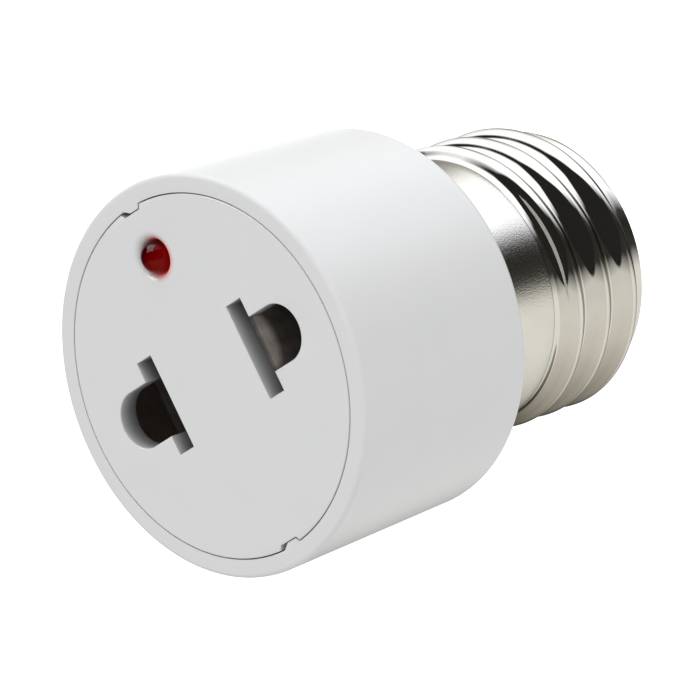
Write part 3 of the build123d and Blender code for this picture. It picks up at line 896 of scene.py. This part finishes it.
# %% Insulator
insulator_top, seat_z, insulator_tip = -19.45, -23.05, -25.3
insulator_radius, cone_top, cone_foot = 11.62, -21.59, 10.16
skirt_radius, skirt_end, skirt_edge = 8.85, -23.9, 0.3
tip_radius, tip_edge, shank_bore = 5.6, 0.25, 1.25
insulator_steps = 128
black_insulator, _ = speckled(
    "black_insulator",
    (0.010, 0.010, 0.011),
    (0.022, 0.021, 0.021),
    rough=(0.22, 0.36),
    patch=500,
    fleck=6500,
    depth=0.008,
)
outline = [
    (shank_bore, insulator_top),
    (insulator_radius, insulator_top),
    (insulator_radius, cone_top),
    (cone_foot, seat_z),
    (skirt_radius, seat_z),
    (skirt_radius, skirt_end),
    (tip_radius, insulator_tip),
    (shank_bore, insulator_tip),
]
bm = spun(outline, insulator_steps, closed=True)
round_ring(bm, skirt_radius, skirt_end, skirt_edge)
round_ring(bm, tip_radius, insulator_tip, tip_edge)
dress(piece_from("tip_insulator", bm), black_insulator, "black_insulator", "base_insulator")

# %% Centre contact
contact_radius, button_z, dome_z, button_edge = 4.8, -25.8, -26.5, 0.16
shank_radius, shank_top = 1.2, -18.45
dome_rows, contact_steps = 12, 96
dome_drop = button_z - dome_z
dome_radius = (contact_radius**2 + dome_drop**2) / (2 * dome_drop)
reaches = [contact_radius * i / dome_rows for i in range(dome_rows + 1)]
outline = [(reach, dome_z + dome_radius - sqrt(dome_radius**2 - reach**2)) for reach in reaches]
outline += [
    (contact_radius, insulator_tip),
    (shank_radius, insulator_tip),
    (shank_radius, shank_top),
    (0, shank_top),
]
bm = spun(outline, contact_steps)
round_ring(bm, contact_radius, button_z, button_edge)
dress(piece_from("centre_button", bm), nickel, "nickel_plate", "centre_contact")

# %% [markdown]
# ## Indicator lamp
# The lamp is a 3 mm red lens: half a sphere on a short cylinder with a flange. It is cut from a sphere, whose
# open rim is extruded down and out. A lens of pure glass would show the dark tube behind it, so the plastic
# is mostly a deep red, lighter on the side where the light comes out, with a little transmission.

# %% Red plastic
lit_x, lit_y = 0.5, -0.85
lens_dark, lens_bright = -1.2, 1.4
share_dark, share_bright = 0.2, 0.8
red_dark, red_bright = (0.045, 0.0, 0.0002), (0.20, 0.0, 0.0002)
lamp_y_lit = lit_y * lamp_y
red_lens, shader = new_material(
    "red_lens", Roughness=0.06, IOR=1.5, Transmission_Weight=0.1, Specular_IOR_Level=0.07
)
tree = red_lens.node_tree
across = add_node(tree, "ShaderNodeVectorMath")
across.operation = "DOT_PRODUCT"
across.inputs[1].default_value = (lit_x, lit_y, 0)
tree.links.new(add_node(tree, "ShaderNodeTexCoord").outputs["Object"], across.inputs[0])
lens_start, lens_end = (lamp_y_lit + lens_dark) * MM, (lamp_y_lit + lens_bright) * MM
lens_share = value_between(tree, across.outputs["Value"], lens_start, lens_end, share_dark, share_bright)
tree.links.new(tone_between(tree, lens_share, red_dark, red_bright), shader.inputs["Base Color"])
print("the red runs over", round(lens_bright - lens_dark, 1), "mm of the lens")

# %% Red lens
lens_radius, lens_tip, lens_base = 1.5, 22.54, 17.24
flange_radius, flange_top = 1.9, 18.24
dome_centre = lens_tip - lens_radius
bm = bmesh.new()
bmesh.ops.create_uvsphere(bm, u_segments=64, v_segments=32, radius=lens_radius * MM)
whole = bm.verts[:] + bm.edges[:] + bm.faces[:]
bmesh.ops.bisect_plane(bm, geom=whole, plane_co=(0, 0, 0), plane_no=(0, 0, -1), clear_outer=True)
bmesh.ops.translate(bm, vec=(0, lamp_y * MM, dome_centre * MM), verts=bm.verts)


def extrude_rim(bm, drop, spread):
    """Extrude the open rim, move it down by this much and spread it by this factor about the lamp's axis."""
    rim = [edge for edge in bm.edges if edge.is_boundary]
    made = bmesh.ops.extrude_edge_only(bm, edges=rim)["geom"]
    verts = [item for item in made if isinstance(item, bmesh.types.BMVert)]
    bmesh.ops.translate(bm, vec=(0, 0, -drop * MM), verts=verts)
    about = Matrix.Translation((0, -lamp_y * MM, 0))
    bmesh.ops.scale(bm, vec=(spread, spread, 1), space=about, verts=verts)


extrude_rim(bm, dome_centre - flange_top, 1)
extrude_rim(bm, 0, flange_radius / lens_radius)
extrude_rim(bm, flange_top - lens_base, 1)
bmesh.ops.holes_fill(bm, edges=[edge for edge in bm.edges if edge.is_boundary])
bmesh.ops.recalc_face_normals(bm, faces=bm.faces)
lens = piece_from("red_lamp_lens", bm)
dress(lens, red_lens, "red_lens", "indicator_led")

# %% [markdown]
# ## A window in the lens
# The photograph's lens has a bright spot at its top, from a window or a second soft box. The cap would mirror
# it too, as a white square across its dark streaks. Light linking keeps this light on the lens and the
# cover with its lip, and it adds no diffuse light, so that the plastic's tone stays as the soft box makes it.

# %% Window for the lens and the lip


def light_only(light, *pieces):
    """Let a light fall on these pieces alone."""
    lit = bpy.data.collections.new(f"lit_by_{light.name}")
    for piece in pieces:
        lit.objects.link(piece)
    light.light_linking.receiver_collection = lit


window = area_light("window", Vector((0.03, 0.90, 0.43)), distance=0.9, size=0.7, energy=11.0)
window.visible_diffuse = False
light_only(window, lens, front_cover)

# %% [markdown]
# ## Contact clips
# Each clip is a folded strip that grips a plug's pin, and the slots show a little of it. It could be bent up
# from a flat strip, but the CAD solid has the right folds, so a copy of its mesh is merged, its flat
# triangles are dissolved and its edges are bevelled, as a tumbled stamping's are. Little of the soft box's
# light gets into the slots, so a small light, linked to the clips, draws the leaf in the right slot.

# %% Clips from their CAD meshes
flat_angle, fold_angle, clip_edge = radians(1), radians(40), 0.06
clip_metal, _ = speckled(
    "clip_metal",
    (0.20, 0.175, 0.155),
    (0.30, 0.265, 0.24),
    rough=(0.40, 0.58),
    patch=700,
    fleck=4200,
    depth=0.01,
    Metallic=0.3,
)


def softened(node):
    """A merged copy of a CAD node's mesh, with its flat faces whole and its edges bevelled."""
    bm = bmesh.new()
    bm.from_mesh(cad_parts[node].data)
    bmesh.ops.remove_doubles(bm, verts=bm.verts, dist=merge_distance)
    bmesh.ops.dissolve_limit(bm, angle_limit=flat_angle, verts=bm.verts, edges=bm.edges)
    sharp = [edge for edge in bm.edges if edge.is_manifold and edge.calc_face_angle() > fold_angle]
    bevel(bm, sharp, clip_edge, segments=2, clamp=True)
    return bm


clips = []
for hand in ("right", "left"):
    node = f"{hand}_contact_clip"
    clips.append(piece_from(f"{hand}_spring_clip", softened(node)))
    dress(clips[-1], clip_metal, "brass_strip", node)
slot_light = area_light("slot_light", Vector((0.88, -0.10, 0.50)), distance=0.6, size=0.06, energy=2.3)
light_only(slot_light, *clips)

# %% [markdown]
# ## Inner pieces
# Wires, solder, leads and the two small components sit behind the cover and can't be seen from outside. They
# could be modelled again, but their CAD solids are right as they are, and each gets the finish of its stuff.

# %% Finishes of the inner pieces
metal, plain, clear = {"Metallic": 1.0}, {}, {"Transmission_Weight": 0.7}
# Each row: name, darker tone, lighter tone, roughness, patches and flecks to the metre, bump in mm, the rest
inner_looks = [
    ("zinc_steel", (0.52, 0.52, 0.53), (0.62, 0.62, 0.62), (0.25, 0.40), 900, 5000, 0.01, metal),
    ("solder", (0.55, 0.55, 0.55), (0.68, 0.68, 0.67), (0.18, 0.35), 1200, 3000, 0.02, metal),
    ("copper", (0.72, 0.35, 0.22), (0.82, 0.45, 0.30), (0.20, 0.35), 900, 4000, 0.01, metal),
    ("tinned_lead", (0.64, 0.64, 0.63), (0.74, 0.74, 0.72), (0.16, 0.30), 900, 5000, 0.01, metal),
    ("brass_strip", (0.62, 0.45, 0.20), (0.74, 0.56, 0.28), (0.22, 0.38), 900, 5000, 0.01, metal),
    ("brown_sheath", (0.10, 0.045, 0.022), (0.14, 0.062, 0.030), (0.35, 0.5), 600, 4000, 0.01, plain),
    ("blue_sheath", (0.020, 0.075, 0.30), (0.030, 0.105, 0.38), (0.35, 0.5), 600, 4000, 0.01, plain),
    ("clear_sleeve", (0.80, 0.80, 0.76), (0.88, 0.88, 0.84), (0.2, 0.35), 600, 4000, 0.01, clear),
    ("resistor_coat", (0.42, 0.30, 0.17), (0.50, 0.37, 0.22), (0.28, 0.42), 800, 4000, 0.01, plain),
    ("black_epoxy", (0.012, 0.012, 0.013), (0.024, 0.024, 0.025), (0.4, 0.6), 800, 5000, 0.01, plain),
]
inner_finishes = {}
for name, low, high, rough, patch, fleck, depth, others in inner_looks:
    inner_finishes[name], _ = speckled(name, low, high, rough, patch, fleck, depth, **others)
print("inner finishes:", ", ".join(inner_finishes))

# %% Inner pieces by their finish
inner_nodes = {
    "brass_strip": ["contact_washer"],
    "solder": [
        "centre_solder",
        "shell_solder",
        "live_clip_solder",
        "neutral_clip_solder",
        "resistor_solder",
        "diode_solder",
    ],
    "zinc_steel": ["left_clip_screw", "right_clip_screw"],
    "copper": ["live_wire_core", "neutral_wire_core"],
    "brown_sheath": ["live_wire_sheath"],
    "blue_sheath": ["neutral_wire_sheath"],
    "tinned_lead": [
        "led_anode_lead",
        "led_cathode_lead",
        "resistor_upper_lead",
        "resistor_lower_lead",
        "diode_upper_lead",
        "diode_lower_lead",
    ],
    "clear_sleeve": ["anode_sleeve", "cathode_sleeve"],
    "resistor_coat": ["series_resistor"],
    "black_epoxy": ["blocking_diode"],
}
for finish, nodes in inner_nodes.items():
    for node in nodes:
        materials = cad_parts[node].data.materials
        materials.clear()
        materials.append(inner_finishes[finish])
print("inner pieces with a finish:", sum(len(nodes) for nodes in inner_nodes.values()))

# %% Size of the dressed model against the CAD frame
dressed_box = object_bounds()
cad_size, dressed_size = cad_box[1] - cad_box[0], dressed_box[1] - dressed_box[0]
print("grown by", [round((b - a) / MM, 3) for a, b in zip(cad_size, dressed_size)], "mm")
